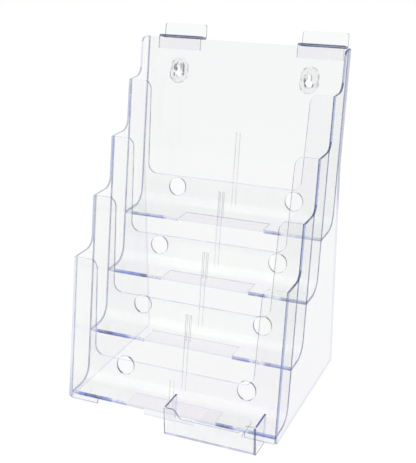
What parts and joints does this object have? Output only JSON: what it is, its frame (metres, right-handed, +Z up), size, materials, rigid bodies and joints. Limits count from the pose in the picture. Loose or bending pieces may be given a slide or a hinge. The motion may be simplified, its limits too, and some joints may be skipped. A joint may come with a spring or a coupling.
{
  "type": "brochure rack",
  "caption": "Clear stepped brochure rack: bent-sheet pockets between side panels, finger cut-outs, keyholes, a slide-out card holder and slatwall hangers.",
  "frame": {"origin": "middle of the whole rack's footprint, on the surface it stands on", "axes": "+X to the right as seen from the front, +Y from the front to the back, +Z up"},
  "size_m": [0.236, 0.2498, 0.368],
  "materials": {
    "clear_shell": "polished clear polystyrene or acrylic sheet, faint blue-violet edge tint",
    "clear_side": "polished clear polystyrene or acrylic sheet, faint blue-violet edge tint",
    "clear_tray": "polished clear moulded polystyrene",
    "clear_hanger": "clear extruded plastic with a slight violet-grey tint"
  },
  "bodies": {
    "stand": {"side_panel_left": "clear_side", "side_panel_right": "clear_side", "back_panel": "clear_shell", "tier_panel_upper": "clear_shell", "tier_panel_middle": "clear_shell", "tier_panel_lower": "clear_shell", "front_panel": "clear_shell"},
    "card_holder": {"card_holder": "clear_tray"},
    "hanger_left": {"hanger_left": "clear_hanger"},
    "hanger_right": {"hanger_right": "clear_hanger"}
  },
  "joints": [
    {"name": "card_holder_slide", "type": "slide", "parent": "stand", "child": "card_holder", "axis": [0, -1, 0], "range_m": [0, 0.04]},
    {"name": "hanger_left_slide", "type": "slide", "parent": "stand", "child": "hanger_left", "axis": [1, 0, 0], "range_m": [-0.0128, 0.05]},
    {"name": "hanger_right_slide", "type": "slide", "parent": "stand", "child": "hanger_right", "axis": [1, 0, 0], "range_m": [-0.05, 0.0036]}
  ]
}
